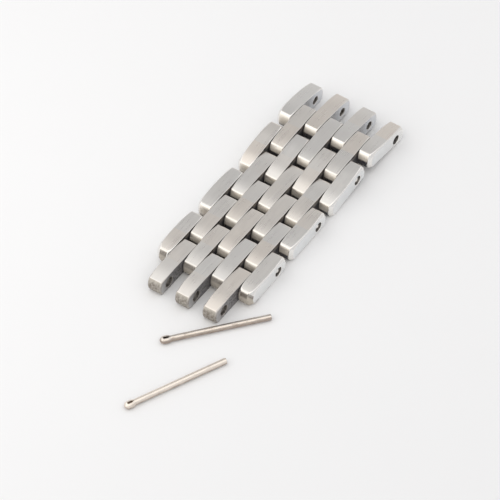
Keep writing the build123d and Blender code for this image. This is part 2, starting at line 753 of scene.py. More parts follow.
@dataclass(frozen=True)
class Finish:
    """A finish of one material.

    Args:
        name: The material's name.
        colour: Its mean colour.
        roughness: Its mean roughness.
    """

    name: str
    colour: Colour
    roughness: float

    def make(self) -> bpy.types.Material:
        """Makes the material.

        Returns:
            The material.
        """
        material = bpy.data.materials.new(self.name)
        material.use_nodes = True
        tree = Tree(material.node_tree)
        shader = self.dress(tree)
        tree.node("ShaderNodeOutputMaterial", None, {"Surface": shader})
        material.diffuse_color = self.colour
        return material

    def dress(self, tree: Tree) -> Wire:
        """Makes the finish's shader in the tree and gives its output."""
        raise NotImplementedError

    def metal(
        self, tree: Tree, colour: Value, roughness: Value, normal: Wire, films: Sequence[Film] = ()
    ) -> Wire:
        """A metal shader.

        Args:
            tree: The tree to make it in.
            colour: Its colour.
            roughness: Its roughness.
            normal: Its normal.
            films: The matt films over it, the lowest first.

        Returns:
            The shader's output.
        """
        bare: Value = 1.0
        for film in films:
            cover = film.cover(tree)
            colour = tree.blend(cover, colour, film.colour)
            roughness = (roughness + cover * film.dullness).clamped()
            bare = (1.0 - cover) * bare
        sockets = {"Base Color": colour, "Roughness": roughness, "Metallic": bare, "Normal": normal}
        return tree.node("ShaderNodeBsdfPrincipled", None, sockets)


@dataclass(frozen=True)
class Brushed(Finish):
    """Steel brushed along its length.

    Args:
        line_width: About how wide a brushed line is, in millimetres.
        line_length: About how long it is.
        depth: How deep the lines are.
        streak: How much the tone changes from line to line.
        blotch: How much it changes over the whole face.
        tint: How much warmer or cooler one link is than the mean.
        dark: The tone of the darkest lines.
        light: The tone of the lightest.
        contrast: How steeply the tone follows its patterns.
        middle: Where the mean lies between the darkest and the lightest.
        broad_dullness: How much the roughness changes with the broad lines.
        cloud_dullness: How much it changes over the whole face.
        broad_height: How deep the broad lines are next to the fine ones.
        broad: The pattern of the broad lines.
        cloud: The pattern over the whole face.
        drift: The pattern of the tint from link to link.
        drift_edge: The values of that pattern where a link is cool and where it is warm.
    """

    line_width: float = 0.17
    line_length: float = 8.0
    depth: float = 0.003
    streak: float = 0.16
    blotch: float = 0.12
    tint: float = 0.025
    dark: float = 0.86
    light: float = 1.1
    contrast: float = 2.0
    middle: float = 0.58
    broad_dullness: float = 0.16
    cloud_dullness: float = 0.1
    broad_height: float = 0.5
    broad: Pattern = Pattern(0.12, 2.4, 7.0)
    cloud: Pattern = Pattern(0.35, 0.45, 3.0)
    drift: Pattern = Pattern(0.02, 0.02, 21.0, 0.0)
    drift_edge: Pair = (0.35, 0.65)

    def dress(self, tree: Tree) -> Wire:
        """Makes the finish's shader.

        Args:
            tree: The tree to make it in.

        Returns:
            The shader's output.
        """
        fine = Pattern(1 / self.line_length, 1 / self.line_width, 0.0, 2.0).on(tree)
        broad, cloud = self.broad.on(tree), self.cloud.on(tree)
        tone = fine.swing(self.streak) + broad.swing(self.streak) + cloud.swing(self.blotch)
        share = (tone * self.contrast + self.middle).clamped()
        cool, warm = (
            tree.blend(share, toned(self.colour, self.dark, warmth), toned(self.colour, self.light, warmth))
            for warmth in (-self.tint, self.tint)
        )
        colour = tree.blend(self.drift.on(tree).above(*self.drift_edge), cool, warm)
        dullness = self.roughness + broad.swing(self.broad_dullness) + cloud.swing(self.cloud_dullness)
        height = fine + broad * self.broad_height
        return self.metal(tree, colour, dullness.clamped(), tree.bumped(height, self.depth))


@dataclass(frozen=True)
class Polished(Finish):
    """Steel polished on a wheel, a little wavy, with faint scratches.

    Args:
        wave: How deep its waves are, in millimetres.
        scratch: How much duller its scratches are.
        stain: How much darker its stains are.
        films: The films over it, the lowest first.
        scratch_height: How deep its scratches are next to its waves.
        swell: The pattern of its waves.
        lines: The pattern of its scratches.
        line_edge: The values of that pattern where a scratch starts and where it is full.
        spots: The pattern of its stains.
        spot_edge: The values of that pattern where a stain starts and where it is full.
    """

    wave: float = 0.01
    scratch: float = 0.15
    stain: float = 0.2
    films: tuple[Film, ...] = ()
    scratch_height: float = 0.1
    swell: Pattern = Pattern(0.9, 0.7, 5.0, 2.0)
    lines: Pattern = Pattern(0.5, 9.0, 2.0)
    line_edge: Pair = (0.5, 0.8)
    spots: Pattern = Pattern(1.6, 1.6, 9.0, 4.0, 0.7)
    spot_edge: Pair = (0.56, 0.75)

    def dress(self, tree: Tree) -> Wire:
        """Makes the finish's shader.

        Args:
            tree: The tree to make it in.

        Returns:
            The shader's output.
        """
        swell, lines = self.swell.on(tree), self.lines.on(tree)
        spots = self.spots.on(tree).above(*self.spot_edge)
        colour = tree.blend(spots, self.colour, toned(self.colour, 1 - self.stain))
        dullness = self.roughness + lines.above(*self.line_edge) * self.scratch + spots * self.scratch
        normal = tree.bumped(swell + lines * self.scratch_height, self.wave)
        return self.metal(tree, colour, dullness.clamped(), normal, self.films)


@dataclass(frozen=True)
class Drilled(Finish):
    """A drilled wall with the tool's rings and the dark film that stays in a bore.

    Args:
        ring_width: About how far apart the rings are, in millimetres.
        depth: How deep they are.
        film: The colour of the film.
        film_share: How much of the wall the film hides where it is thickest.
        ring_rate: How many tones of a ring go into a millimetre along it.
        ring_dullness: How much the roughness changes with the rings.
        film_dullness: How much rougher the film is.
        spots: The pattern of the film.
        spot_edge: The values of that pattern where the film starts and where it is full.
    """

    ring_width: float = 0.08
    depth: float = 0.01
    film: Colour = BORE_FILM
    film_share: float = 0.7
    ring_rate: float = 0.15
    ring_dullness: float = 0.3
    film_dullness: float = 0.15
    spots: Pattern = Pattern(0.8, 0.8, 4.0, 4.0, 0.65)
    spot_edge: Pair = (0.38, 0.62)

    def dress(self, tree: Tree) -> Wire:
        """Makes the finish's shader.

        Args:
            tree: The tree to make it in.

        Returns:
            The shader's output.
        """
        rings = Pattern(self.ring_rate, 1 / self.ring_width, 1.0, 2.0).on(tree)
        film = self.spots.on(tree).above(*self.spot_edge)
        colour = tree.blend(film * self.film_share, self.colour, self.film)
        dullness = self.roughness + rings.swing(self.ring_dullness) + film * self.film_dullness
        return self.metal(tree, colour, dullness.clamped(), tree.bumped(rings, self.depth))


@dataclass(frozen=True)
class Drawn(Finish):
    """Drawn wire with faint lines along it and rubbed marks from its bore.

    Args:
        line_width: About how wide a line is, in millimetres.
        line_length: About how long it is.
        depth: How deep it is.
        rub: The colour of the rubbed marks.
        rubbing: How much of the wire they hide.
        films: The films over it, the lowest first.
        line_dullness: How much the roughness changes with the lines.
        rub_dullness: How much rougher the rubbed marks are.
        marks: The pattern of the rubbed marks.
        mark_edge: The values of that pattern where a mark starts and where it is full.
    """

    line_width: float = 0.12
    line_length: float = 5.0
    depth: float = 0.003
    rub: Colour = (0.36, 0.29, 0.25, 1.0)
    rubbing: float = 0.3
    films: tuple[Film, ...] = ()
    line_dullness: float = 0.2
    rub_dullness: float = 0.15
    marks: Pattern = Pattern(0.5, 1.6, 8.0, 4.0, 0.65)
    mark_edge: Pair = (0.5, 0.7)

    def dress(self, tree: Tree) -> Wire:
        """Makes the finish's shader.

        Args:
            tree: The tree to make it in.

        Returns:
            The shader's output.
        """
        lines = Pattern(1 / self.line_length, 1 / self.line_width, 6.0, 2.0).on(tree)
        rubbed = self.marks.on(tree).above(*self.mark_edge)
        colour = tree.blend(rubbed * self.rubbing, self.colour, self.rub)
        dullness = self.roughness + lines.swing(self.line_dullness) + rubbed * self.rub_dullness
        return self.metal(tree, colour, dullness.clamped(), tree.bumped(lines, self.depth), self.films)


@dataclass(frozen=True)
class Ground(Finish):
    """A pin ground round its axis, which lies along Y.

    Args:
        ring_width: About how far apart the grinding marks are, in millimetres.
        round_rate: How many tones of a mark go into a metre round the pin.
        depth: How deep the marks are.
        dark: The tone of the darkest marks.
        dullness: How much the roughness changes with the marks.
    """

    ring_width: float = 0.06
    round_rate: float = 600.0
    depth: float = 0.003
    dark: float = 0.8
    dullness: float = 0.2

    def dress(self, tree: Tree) -> Wire:
        """Makes the finish's shader.

        Args:
            tree: The tree to make it in.

        Returns:
            The shader's output.
        """
        place = tree.solid((self.round_rate, 1 / (self.ring_width * MM), self.round_rate))
        rings = tree.noise(place, 2.0, Pattern.roughness)
        colour = tree.blend(rings, toned(self.colour, self.dark), self.colour)
        dullness = self.roughness + rings.swing(self.dullness)
        return self.metal(tree, colour, dullness.clamped(), tree.bumped(rings, self.depth))


@dataclass(frozen=True)
class Board(Finish):
    """The pale matt board that the strap lies on.

    Args:
        fleck: How much its tone changes.
        fleck_rate: How many flecks go into a metre.
        gloss: Its specular level.
    """

    fleck: float = 0.01
    fleck_rate: float = 60.0
    gloss: float = 0.1

    def dress(self, tree: Tree) -> Wire:
        """Makes the finish's shader.

        Args:
            tree: The tree to make it in.

        Returns:
            The shader's output.
        """
        place = tree.solid((self.fleck_rate, self.fleck_rate, self.fleck_rate))
        cloud = tree.noise(place, Pattern.detail, Pattern.roughness)
        colour = tree.blend(cloud, toned(self.colour, 1 - self.fleck), self.colour)
        sockets = {"Base Color": colour, "Roughness": self.roughness, "Specular IOR Level": self.gloss}
        return tree.node("ShaderNodeBsdfPrincipled", None, sockets)


@dataclass
class FinishSet:
    """The finishes of the strap, each made once. A film's start and full count along its way."""

    top: Finish = Brushed("brushed_top", (0.743, 0.705, 0.662, 1.0), 0.3)
    base: Finish = Brushed("brushed_base", (0.7, 0.675, 0.64, 1.0), 0.36)
    side: Finish = Brushed(
        "satin_side", (0.86, 0.85, 0.835, 1.0), 0.36, line_width=0.12, depth=0.001, streak=0.05
    )
    # Inner sides: painted shade, as a darker colour than the outer sides and a near black film lower down,
    # where they face into the gaps between links
    inner: Finish = Polished(
        "inner_side",
        (0.46, 0.43, 0.41, 1.0),
        0.3,
        stain=0.45,
        films=(Film(DOWN, start=-1.4, full=-0.5, share=0.97, colour=PAINTED_GAP_SHADE, spot=0.4, thin=0.8),),
    )
    # Inner sides of the first row: painted shade, darker towards the joint with the second row
    near_inner: Finish = Polished(
        "near_end_inner_side",
        (0.54, 0.53, 0.53, 1.0),
        0.3,
        stain=0.4,
        films=(Film(TO_FAR_END, start=-2.4, full=0.6, share=0.92, colour=PAINTED_JOINT_SHADE, thin=0.5),),
    )
    # Inner sides of the last row: a lighter colour than the other inner sides, and darker towards the near
    # end
    far_inner: Finish = Polished(
        "far_end_inner_side",
        (0.7, 0.71, 0.73, 1.0),
        0.3,
        stain=0.3,
        films=(Film(TO_NEAR_END, start=-5.2, full=-2.8, share=0.4),),
    )
    # Rounded ends: a pale film lower down, partly dust and partly painted reflection of the floor, and
    # painted shade at the bottom, where the ends face into the gaps
    end: Finish = Polished(
        "rounded_end",
        (0.9, 0.855, 0.79, 1.0),
        0.32,
        wave=0.003,
        stain=0.1,
        films=(
            Film(DOWN, start=-1.4, full=-0.6, share=0.8, colour=DUST_AND_SHEEN_FILM, spot=1.5),
            Film(DOWN, start=-0.35, full=0.05, share=1.0, colour=PAINTED_GAP_SHADE, spot=0.6, thin=0.85),
        ),
    )
    # Ends of the left edge links: the same pale film, and a softer painted shade from the pin axis down
    left_edge_end: Finish = Polished(
        "left_edge_end",
        (0.9, 0.855, 0.79, 1.0),
        0.32,
        wave=0.003,
        stain=0.1,
        films=(
            Film(DOWN, start=-1.4, full=-0.6, share=0.7, colour=DUST_AND_SHEEN_FILM, spot=1.5),
            Film(DOWN, start=0.0, full=1.3, share=0.9, colour=PAINTED_GAP_SHADE, spot=0.6, thin=0.5),
        ),
    )
    # Ends of the second row: painted reflections, a dark band under the highlight and a pale band below it
    open_end: Finish = Polished(
        "end_at_open_joint",
        (0.86, 0.82, 0.76, 1.0),
        0.32,
        wave=0.003,
        stain=0.1,
        films=(
            Film(DOWN, start=-1.62, full=-1.25, share=0.88, colour=OIL_AND_SHADE_FILM, spot=0.7, thin=0.75),
            Film(DOWN, start=-0.9, full=-0.35, share=0.85, colour=DUST_AND_SHEEN_FILM, spot=0.7, thin=0.75),
        ),
    )
    # Near end of the second row's right edge link: the same painted reflections, stronger
    corner_end: Finish = Polished(
        "end_at_open_corner",
        (0.86, 0.82, 0.76, 1.0),
        0.32,
        wave=0.003,
        stain=0.1,
        films=(
            Film(DOWN, start=-1.5, full=-1.2, share=1.0, colour=OIL_AND_SHADE_FILM, spot=0.7, thin=0.85),
            Film(DOWN, start=-0.8, full=-0.3, share=0.9, colour=DUST_AND_SHEEN_FILM, spot=0.7, thin=0.8),
        ),
    )
    # Its bevel: the same dark and pale bands of painted reflection round the near end
    corner_bevel: Finish = Polished(
        "bevel_at_open_corner",
        (0.86, 0.84, 0.81, 1.0),
        0.2,
        wave=0.003,
        scratch=0.05,
        stain=0.04,
        films=(
            Film(NEAR_AND_DOWN, start=0.65, full=0.85, share=0.95, colour=OIL_AND_SHADE_FILM, spot=0.6, thin=0.6),
            Film(NEAR_AND_DOWN, start=1.1, full=1.5, share=0.9, colour=DUST_AND_SHEEN_FILM, spot=0.7, thin=0.85),
        ),
    )
    # Near ends of the first row: a darker, browner colour and a dark film lower down, partly oil at the
    # open joint and partly painted reflection of the shaded floor
    near_end: Finish = Polished(
        "near_open_end",
        (0.56, 0.525, 0.47, 1.0),
        0.4,
        stain=0.35,
        films=(Film(DOWN, start=-1.9, full=-0.4, share=0.85, colour=OIL_AND_SHADE_FILM, spot=0.55, thin=0.12),),
    )
    # Edges of the first row: darker towards the bottom, partly oil and partly painted reflection, as on its
    # near ends
    near_edge: Finish = Polished(
        "near_end_edge",
        (0.66, 0.63, 0.59, 1.0),
        0.34,
        stain=0.3,
        films=(Film(DOWN, start=-1.7, full=-0.4, share=0.7, colour=OIL_AND_SHADE_FILM),),
    )
    bevel: Finish = Polished(
        "polished_bevel", (0.86, 0.84, 0.81, 1.0), 0.2, wave=0.003, scratch=0.05, stain=0.04
    )
    edge: Finish = Polished("worn_edge", (0.74, 0.715, 0.68, 1.0), 0.3, wave=0.002, stain=0.05)
    bore: Finish = Drilled("drilled_bore", (0.5, 0.48, 0.46, 1.0), 0.45)
    # Loose pin: painted shade on its lower side
    rod: Finish = Drawn(
        "drawn_pin",
        (0.88, 0.805, 0.72, 1.0),
        0.28,
        films=(Film(DOWN, start=-0.36, full=0.0, share=0.75, colour=PAINTED_PIN_SHADE, spot=1.6, thin=0.6),),
    )
    seam: Finish = Drilled("pin_seam", (0.8, 0.71, 0.62, 1.0), 0.5, film=SEAM_FILM)
    # The duller loose pin: painted shade over more of its lower side
    dull_rod: Finish = Drawn(
        "dull_drawn_pin",
        (0.72, 0.66, 0.6, 1.0),
        0.17,
        rubbing=0.8,
        films=(Film(DOWN, start=-0.46, full=-0.2, share=0.9, colour=PAINTED_PIN_SHADE, spot=1.6, thin=0.7),),
    )
    dull_seam: Finish = Drilled("dull_pin_seam", (0.3, 0.24, 0.2, 1.0), 0.5)
    seated_rod: Finish = Drawn("seated_pin", (0.85, 0.825, 0.79, 1.0), 0.24)
    fixed: Finish = Ground("ground_pin", (0.68, 0.66, 0.63, 1.0), 0.3)
    made: dict[str, bpy.types.Material] = field(default_factory=dict)

    def get(self, finish: Finish) -> bpy.types.Material:
        """Gives a finish's material, which is made the first time.

        Args:
            finish: The finish.

        Returns:
            Its material.
        """
        if finish.name not in self.made:
            self.made[finish.name] = finish.make()
        return self.made[finish.name]

    def link_zones(self, row: int, last_row: int, place: str) -> dict[Zone, bpy.types.Material]:
        """The material of each zone of a link.

        Args:
            row: The link's row. The first two rows and the last get finishes of their own, with painted
                shade and painted reflections.
            last_row: The row at the far end.
            place: The link's place in its row. The left edge catches light under its near end.

        Returns:
            The materials by zone.
        """
        inner = {1: self.near_inner, last_row: self.far_inner}
        ends = {1: self.near_end, 2: self.open_end}
        usual_end = self.left_edge_end if place == "left_edge" else self.end
        corner = row == 2 and place == "right_edge"
        bevel = self.corner_bevel if corner else self.bevel
        edge = self.near_edge if row == 1 else self.edge
        zones = {
            Zone.TOP: self.top,
            Zone.END: self.corner_end if corner else ends.get(row, usual_end),
            Zone.BASE: self.base,
            Zone.SIDE: self.side,
            Zone.INNER: inner.get(row, self.inner),
            Zone.BEVEL: bevel,
            Zone.EDGE: bevel if "edge" in place else edge,
            Zone.BORE: self.bore,
        }
        return {zone: self.get(finish) for zone, finish in zones.items()}

    def pin_zones(self, rod: Finish, seam: Finish) -> dict[Zone, bpy.types.Material]:
        """The material of each zone of a split pin."""
        return {Zone.ROD: self.get(rod), Zone.SEAM: self.get(seam), Zone.EDGE: self.get(rod)}


# The strap


@dataclass(frozen=True)
class Strap:
    """Sizes that the whole strap shares, and how its rows lie.

    Args:
        width: Its width.
        column_count: How many columns of links it has.
        column_gap: The gap between two columns.
        row_count: How many rows it has.
        root_row: The row that the others are placed from.
        three_link_spacing: The distance between the pin axes of a row of three links.
        four_link_spacing: The same for a row of four.
        axis_height: How high the pin axes lie where the strap lies flat.
        row_tilts: The tilt of each row that doesn't lie flat, in degrees.
        swung_tilts: The tilt of each link that has swung out of its row, in degrees.
    """

    width: float = 20.0
    column_count: int = 7
    column_gap: float = 0.08
    row_count: int = 8
    root_row: int = 5
    three_link_spacing: float = 6.41
    four_link_spacing: float = 6.0
    axis_height: float = 1.57
    row_tilts: Mapping[int, float] = field(default_factory=lambda: {6: 7.4, 7: 2.7, 8: -8.5})
    swung_tilts: Mapping[str, float] = field(
        default_factory=lambda: {"row8_left_inner_link": -5.5, "row8_right_inner_link": -6.0}
    )

    @property
    def link_width(self) -> float:
        """Width of one link."""
        return (self.width - (self.column_count - 1) * self.column_gap) / self.column_count

    def spacing(self, row: int) -> float:
        """Distance between a row's two pin axes."""
        return self.three_link_spacing if row % 2 else self.four_link_spacing

    def column_y(self, column: int) -> float:
        """Middle of a column, counted from the left edge."""
        return (self.width - self.link_width) / 2 - column * (self.link_width + self.column_gap)

    def step(self, row: int) -> Pair:
        """The way from a row's near pin axis to its far one, along and up."""
        tilt = math.radians(self.row_tilts.get(row, 0.0))
        return self.spacing(row) * math.cos(tilt), self.spacing(row) * math.sin(tilt)

    def near_axes(self) -> dict[int, Pair]:
        """Places the near pin axis of every row, and of the row that would follow the last.

        Returns:
            Their places along and up, by row.
        """
        near = {self.root_row: (-self.spacing(self.root_row) / 2, self.axis_height)}
        for row in range(self.root_row + 1, self.row_count + 2):
            step = self.step(row - 1)
            near[row] = near[row - 1][0] + step[0], near[row - 1][1] + step[1]
        for row in range(self.root_row - 1, 0, -1):
            step = self.step(row)
            near[row] = near[row + 1][0] - step[0], near[row + 1][1] - step[1]
        return near

    def place(self, name: str, row: int, column: int) -> Matrix:
        """Where a link goes.

        Args:
            name: The link's node.
            row: Its row.
            column: Its column.

        Returns:
            The way from its own near pin axis to the frame.
        """
        x, z = self.near_axes()[row]
        tilt = self.swung_tilts.get(name, self.row_tilts.get(row, 0.0))
        shift = Matrix.Translation((x, self.column_y(column), z))
        return shift @ Matrix.Rotation(math.radians(-tilt), 4, "Y")


@dataclass(frozen=True)
class Link:
    """One link: an outline carried across its width, with rounded edges, bevelled or not, and bores.

    Args:
        outline: Its side outline.
        width: Its width.
        bores: Its bores.
        right_bevel: The bevel round its right face, or zero.
        left_bevel: The bevel round its left face, or zero.
        edge_radius: The rounding that tumbling leaves on an edge along the crown.
        end_edge_radius: The rounding of an edge round an end.
        near_edge_radius: The same round the near end.
        near_bevel: The width of a bevel round the near end.
        crown_bevel: The width of a bevel at the middle of the crown.
        crown_end: How far past the pin axes a bevel has its full width.
        bevel_radius: The rounding of a bevel's two edges, for each millimetre of its width.
        rim_radius: The rounding at a bore's rim.
        rim_spare: How much further than its rounding a rim reaches.
        rim_steps: How many faces a rim's rounding has.
        rim_faces: How many faces go round a bore.
        end_blend: How far inside a pin axis an end's shape starts.
        near_start: Where the near end's own shape starts, from the near pin axis.
        near_reach: How far on it is complete.
        grain_shift: How far the grain of one link lies from that of the next, along and across.
    """

    outline: LinkOutline
    width: float
    bores: tuple[Bore, ...]
    right_bevel: float = 0.0
    left_bevel: float = 0.0
    edge_radius: float = 0.07
    end_edge_radius: float = 0.25
    near_edge_radius: float = 0.25
    near_bevel: float = 0.38
    crown_bevel: float = 0.12
    crown_end: float = 1.9
    bevel_radius: float = 0.79
    rim_radius: float = 0.09
    rim_spare: float = 1.05
    rim_steps: int = 3
    rim_faces: int = 48
    end_blend: float = 0.6
    near_start: float = -0.8
    near_reach: float = 1.1
    grain_shift: Pair = (41.3, 17.9)

    @property
    def right_zone(self) -> Zone:
        """The zone of the right face: an outer side where it has a bevel."""
        return Zone.SIDE if self.right_bevel else Zone.INNER

    @property
    def left_zone(self) -> Zone:
        """The zone of the left face."""
        return Zone.SIDE if self.left_bevel else Zone.INNER

    def near_share(self, x: float) -> float:
        """How much of the near end's own shape a place has, from zero at near_start to one at that end."""
        return min(1.0, max(0.0, (self.near_start - x) / self.near_reach)) ** 2

    def end_share(self, x: float) -> float:
        """How much of an end's shape a place has.

        Args:
            x: The place along the link, from its near pin axis.

        Returns:
            The share, from zero along the crown to one round either end.
        """
        half = self.outline.spacing / 2
        share = (abs(x - half) - half + self.end_blend) / (self.outline.end_radius - self.end_blend)
        return min(1.0, max(0.0, share)) ** 2

    def end_radius(self, x: float) -> float:
        """The rounding of an edge round the end that is nearer to a place."""
        return self.end_edge_radius + (self.near_edge_radius - self.end_edge_radius) * self.near_share(x)

    def rounding(self, x: float) -> float:
        """The rounding of an edge, which is larger round both ends than along the crown."""
        return self.edge_radius + (self.end_radius(x) - self.edge_radius) * self.end_share(x)

    def bevel_at(self, bevel: float, at: Pair) -> float:
        """The width of a bevel there: least at the middle of the crown, and most round the near end.

        Args:
            bevel: The bevel's width round the far end and along the base, or zero.
            at: The place on the outline.

        Returns:
            The width, or zero where there is no bevel.
        """
        if not bevel:
            return 0.0
        x, z = at
        half = self.outline.spacing / 2
        if z > 0:
            share = min(1.0, abs(x - half) / (half + self.crown_end))
            bevel = self.crown_bevel + (bevel - self.crown_bevel) * share * share
        return bevel + (self.near_bevel - bevel) * self.near_share(x)

    def side_inset(self, bevel: float, x: float) -> float:
        """How far in from the outline a side face starts.

        Args:
            bevel: The width of its bevel there, or zero.
            x: The place along the link.

        Returns:
            The distance past the bevel and the rounding of its last edge.
        """
        if bevel:
            return bevel * (1 + self.rim_spare * self.bevel_radius * BEVEL_REACH)
        return self.rim_spare * self.end_radius(x)

    def cross_profile(self, at: Pair) -> list[Stop]:
        """The way over the link from its right face to its left one.

        Args:
            at: The place on the outline.

        Returns:
            Stops with their places across the link and their insets.
        """
        x = at[0]
        half = self.width / 2
        right, left = self.bevel_at(self.right_bevel, at), self.bevel_at(self.left_bevel, at)
        path: list[Pair] = [(-half, self.side_inset(right, x))]
        zones = [self.right_zone]
        radii = [self.bevel_radius * right] * 2 if right else [self.rounding(x)]
        if right:
            path.append((-half, right))
            zones.append(Zone.BEVEL)
        path.append((right - half, 0.0))
        zones.append(Zone.TOP)
        path.append((half - left, 0.0))
        if left:
            path.append((half, left))
            zones.append(Zone.BEVEL)
        zones.append(self.left_zone)
        radii += [self.bevel_radius * left] * 2 if left else [self.rounding(x)]
        path.append((half, self.side_inset(left, x)))
        return soften(path, zones, radii)

    def inset_way(self, ring: Stop) -> Vector:
        """The way out of the link along which insets count.

        Args:
            ring: The stop on the outline.

        Returns:
            The way from the pin axis round a rounded near end, and elsewhere the outline's own normal.
        """
        x, z = ring.at
        if self.near_edge_radius > self.end_edge_radius and x < 0:
            return Vector((x, 0.0, z)).normalized()
        return Vector((ring.normal[0], 0.0, ring.normal[1]))

    def skin(self, draft: Draft, grain_start: Pair) -> tuple[list[Corner], list[Corner]]:
        """Adds the swept surface.

        Args:
            draft: The mesh to add it to.
            grain_start: Where this link's grain starts.

        Returns:
            The rims of the right face and the left face.
        """
        rings = self.outline.stops()
        profiles = [self.cross_profile(ring.at) for ring in rings]
        ways = [self.inset_way(ring) for ring in rings]
        columns: list[list[Corner]] = []
        for number, (ring, profile, way) in enumerate(zip(rings, profiles, ways)):
            x, z = ring.at
            ahead = Vector((-ring.normal[1], 0.0, ring.normal[0]))
            before, after = max(number - 1, 0), min(number + 1, len(rings) - 1)
            step = rings[after].run - rings[before].run
            swing = (ways[after] - ways[before]) / step
            column = []
            for stop, last, following in zip(profile, profiles[before], profiles[after]):
                y, inset = stop.at
                spread = (following.at[0] - last.at[0]) / step
                sink = (following.at[1] - last.at[1]) / step
                along = ahead - swing * inset - way * sink + ACROSS * spread
                across = way * -stop.normal[0] - ACROSS * stop.normal[1]
                place = Vector((x, y, z)) - way * inset
                grain = ring.run + grain_start[0], y + grain_start[1]
                column.append(Corner(place, across.cross(along), grain))
            columns.append(column)
        rows = [list(row) for row in zip(*columns)]
        for stop, first, second in zip(profiles[0], rows, rows[1:]):
            zones = [ring.zone if stop.zone is Zone.TOP else stop.zone for ring in rings[:-1]]
            draft.strip(first, second, zones)
        return rows[0][:-1], rows[-1][:-1]

    def bore_wall(self, draft: Draft, bore: Bore, grain_start: Pair) -> tuple[list[Corner], list[Corner]]:
        """Adds a bore's wall.

        Args:
            draft: The mesh to add it to.
            bore: The bore.
            grain_start: Where this link's grain starts.

        Returns:
            The rims in the right face and the left face. A rim that isn't there is empty.
        """
        half = self.width / 2
        path = bore.path(half)
        rim = self.rim_spare * self.rim_radius
        if bore.right is not None:
            path.insert(0, (-half, path[0][1] + rim))
        if bore.left is not None:
            path.append((half, path[-1][1] + rim))
        zones, radii = [Zone.BORE] * (len(path) - 1), [self.rim_radius] * (len(path) - 2)
        stops = soften(path, zones, radii, self.rim_steps)
        rows: list[list[Corner]] = []
        for stop in stops:
            y, radius = stop.at
            row = []
            for number in range(self.rim_faces + 1):
                angle = math.tau * number / self.rim_faces
                c, s = math.cos(angle), math.sin(angle)
                place = Vector((bore.x + radius * c, y, radius * s))
                normal = Vector((c * stop.normal[1], stop.normal[0], s * stop.normal[1]))
                grain = angle * max(radius, bore.radius) + grain_start[0], stop.run + grain_start[1]
                row.append(Corner(place, normal, grain))
            rows.append(row)
        for stop, first, second in zip(stops, rows, rows[1:]):
            draft.strip(second, first, [stop.zone] * self.rim_faces)
        right = rows[0][:-1] if bore.right is not None else []
        left = rows[-1][:-1] if bore.left is not None else []
        return right, left

    def draft(self, number: int) -> Draft:
        """Builds the link's mesh.

        Args:
            number: The link's number, which shifts its grain, so that no two links look alike.

        Returns:
            The whole mesh.
        """
        made = Draft()
        start = self.grain_shift[0] * number, self.grain_shift[1] * number
        right_rim, left_rim = self.skin(made, start)
        right_holes, left_holes = [], []
        for bore in self.bores:
            right, left = self.bore_wall(made, bore, start)
            right_holes += [right] if right else []
            left_holes += [left] if left else []
        right_side = (-1.0, right_rim, right_holes, self.right_zone)
        left_side = (1.0, left_rim, left_holes, self.left_zone)
        for way, rim, holes, zone in (right_side, left_side):
            loops = [[self.on_face(corner, way, start) for corner in loop] for loop in [rim, *holes]]
            made.fill(loops, zone)
        return made

    @staticmethod
    def on_face(corner: Corner, way: float, start: Pair) -> Corner:
        """A rim's corner as part of a side face, with grain along the link."""
        grain = corner.place.x + start[0], corner.place.z + start[1]
        return Corner(corner.place, Vector((0.0, way, 0.0)), grain)


@dataclass(frozen=True)
class Bores:
    """Sizes of the bores, and the bores of each kind of link.

    Args:
        strap: The strap's shared sizes.
        land_radius: The radius of a bore that turns on its pin.
        pin_radius: The radius of a bore that its pin is pressed into.
        mouth_depth: How deep an opened mouth is.
        three_link_mouth: Its radius in a row of three links.
        four_link_mouth: Its radius in a row of four.
        recess_radius: The radius of the recess for a split pin's head.
        recess_depth: How deep it is.
        edge_wall: How much metal covers the end of a fixed pin.
    """

    strap: Strap
    land_radius: float = 0.6
    pin_radius: float = 0.55
    mouth_depth: float = 0.7
    three_link_mouth: float = 1.0
    four_link_mouth: float = 0.8
    recess_radius: float = 0.895
    recess_depth: float = 2.05
    edge_wall: float = 0.9

    def running(self, x: float, mouth: float | None = None) -> Bore:
        """A running bore, with its mouths opened out to a radius, or plain."""
        ends = (mouth, self.mouth_depth) if mouth else (self.land_radius, 0.0)
        return Bore(x, self.land_radius, ends, ends)

    def three_row(self, opened: bool) -> tuple[Bore, ...]:
        """Bores of a link of a row of three, whose near one may be opened out."""
        mouth = self.three_link_mouth if opened else None
        return self.running(0.0, mouth), self.running(self.strap.three_link_spacing)

    def inner(self, opened: bool) -> tuple[Bore, ...]:
        """Bores of an inner link of a row of four, whose far one may be opened out."""
        mouth = self.four_link_mouth if opened else None
        return self.running(0.0), self.running(self.strap.four_link_spacing, mouth)

    def edge(self, side: Side, opened: bool) -> tuple[Bore, ...]:
        """Bores of an edge link: a blind one for its fixed pin and one for the split pin.

        Args:
            side: The side of the strap that the link is on.
            opened: Whether it is at the far open end.

        Returns:
            Both bores.
        """
        half = self.strap.link_width / 2
        far = self.strap.four_link_spacing
        bottom = side.value * (half - self.edge_wall)
        face = (self.pin_radius, 0.0)
        plain = (self.land_radius, 0.0)
        if side is Side.LEFT:
            blind = Bore(0.0, self.pin_radius, face, None, bottom)
            mouth = (self.four_link_mouth, self.mouth_depth) if opened else plain
            return blind, Bore(far, self.land_radius, mouth, plain)
        blind = Bore(0.0, self.pin_radius, None, face, bottom)
        return blind, Bore(far, self.land_radius, (self.recess_radius, self.recess_depth), plain)


